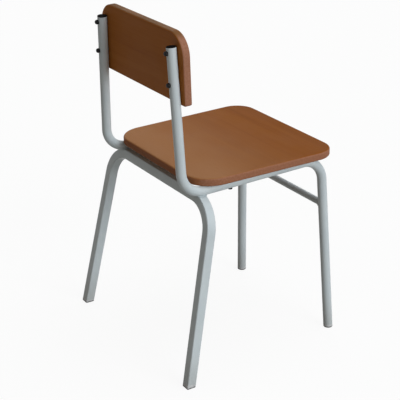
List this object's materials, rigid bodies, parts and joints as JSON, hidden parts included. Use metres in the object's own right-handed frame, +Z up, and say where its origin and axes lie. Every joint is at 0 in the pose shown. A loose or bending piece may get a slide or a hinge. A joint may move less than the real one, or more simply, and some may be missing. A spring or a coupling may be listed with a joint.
{
  "type": "student chair",
  "caption": "Classroom chair: painted tube frame with bent round side tubes and a square-tube rear leg frame, flat board seat and flat board backrest bolted to the uprights.",
  "frame": {"origin": "floor level, in the middle of the chair's bounding box", "axes": "+Z up, the sitter faces -Y, the sitter's left is +X"},
  "size_m": [0.5074, 0.4502, 0.7779],
  "materials": {
    "frame_paint": "satin pale grey paint",
    "seat_wood": "satin varnish",
    "backrest_wood": "satin varnish",
    "black_plastic": "matt moulded",
    "foot_plastic": "matt moulded",
    "black_steel": "black",
    "bare_steel": "plated"
  },
  "bodies": {
    "root": {"left_side_tube": "frame_paint", "right_side_tube": "frame_paint", "rear_leg_frame": "frame_paint", "front_stretcher": "frame_paint", "left_seat_tab": "frame_paint", "right_seat_tab": "frame_paint", "seat_board": "seat_wood", "backrest_board": "backrest_wood", "left_upright_cap": "black_plastic", "right_upright_cap": "black_plastic", "front_left_foot_plug": "foot_plastic", "front_right_foot_plug": "foot_plastic", "rear_left_foot_plug": "foot_plastic", "rear_right_foot_plug": "foot_plastic", "backrest_bolts": "black_steel", "seat_screws": "black_steel", "backrest_inserts": "bare_steel", "seat_inserts": "bare_steel", "rear_left_weld_bead": "frame_paint", "rear_right_weld_bead": "frame_paint", "stretcher_left_weld_bead": "frame_paint", "stretcher_right_weld_bead": "frame_paint"}
  },
  "joints": []
}
